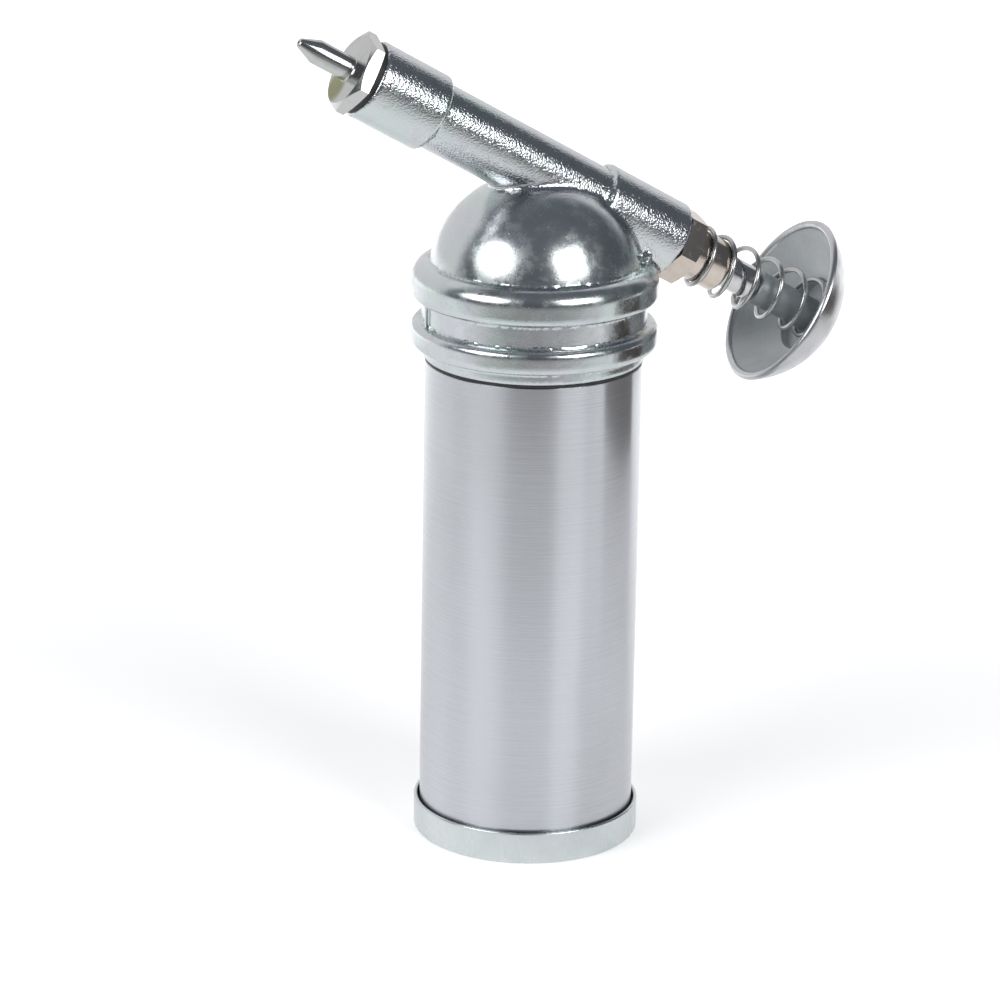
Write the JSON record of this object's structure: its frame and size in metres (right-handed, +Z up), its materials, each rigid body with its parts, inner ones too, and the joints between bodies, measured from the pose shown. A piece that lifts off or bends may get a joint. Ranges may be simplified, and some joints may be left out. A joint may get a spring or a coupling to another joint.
{
  "type": "mini grease applicator",
  "caption": "Small push-type grease gun: container tube with base cap, screw-on domed pump head, slanted barrel with needle nozzle, and sprung palm button.",
  "frame": {"origin": "centre of the base cap's lower face, on the tube's axis", "axes": "+Z up along the tube, -X towards the nozzle, +X towards the palm button; the barrel lies in the XZ plane"},
  "size_m": [0.1005, 0.043, 0.1462],
  "materials": {
    "cap": "satin blue-grey zinc",
    "tube": "satin drawn aluminium",
    "casting": "bright zinc-plated casting",
    "steel": "turned bright steel",
    "nickel": "bright nickel",
    "spring": "bright spring wire",
    "button": "zinc casting, matt inside and polished outside",
    "rubber": "matt black",
    "plastic": "moulded black"
  },
  "bodies": {
    "container": {"base_cap": "cap", "container_tube": "tube", "follower_spring": "spring"},
    "follower": {"follower_piston": "plastic", "follower_seal": "rubber"},
    "gasket": {"collar_gasket": "rubber"},
    "head": {"head_casting": "casting", "nozzle_washer": "rubber", "nozzle": "steel", "check_spring": "spring", "gland_nut": "nickel", "rod_seal": "rubber", "return_spring": "spring"},
    "plunger": {"plunger_rod": "steel", "palm_button": "button"},
    "valve_ball": {"check_ball": "steel"}
  },
  "joints": [
    {"name": "head_lift", "type": "slide", "parent": "container", "child": "gasket", "axis": [0, 0, 1], "range_m": [0, 0.0068]},
    {"name": "head_turn", "type": "hinge", "parent": "gasket", "child": "head", "pos_m": [0, 0, 0.0871], "axis": [0, 0, 1], "range_deg": [0, 1620]},
    {"name": "plunger_slide", "type": "slide", "parent": "head", "child": "plunger", "axis": [-0.866, 0, 0.5], "range_m": [0, 0.018], "stiffness_N_per_m": 1140, "springref_m": -0.005, "deforming": ["return_spring"]},
    {"name": "follower_slide", "type": "slide", "parent": "container", "child": "follower", "axis": [0, 0, 1], "range_m": [-0.056, 0], "stiffness_N_per_m": 610, "springref_m": 0.01, "deforming": ["follower_spring"]},
    {"name": "check_ball_lift", "type": "slide", "parent": "head", "child": "valve_ball", "axis": [-0.866, 0, 0.5], "range_m": [0, 0.001], "stiffness_N_per_m": 500, "springref_m": -0.001, "deforming": ["check_spring"]}
  ],
  "couplings": [
    {"joint": "head_lift", "follows": "head_turn", "m_per_rad": 0.00023873}
  ]
}
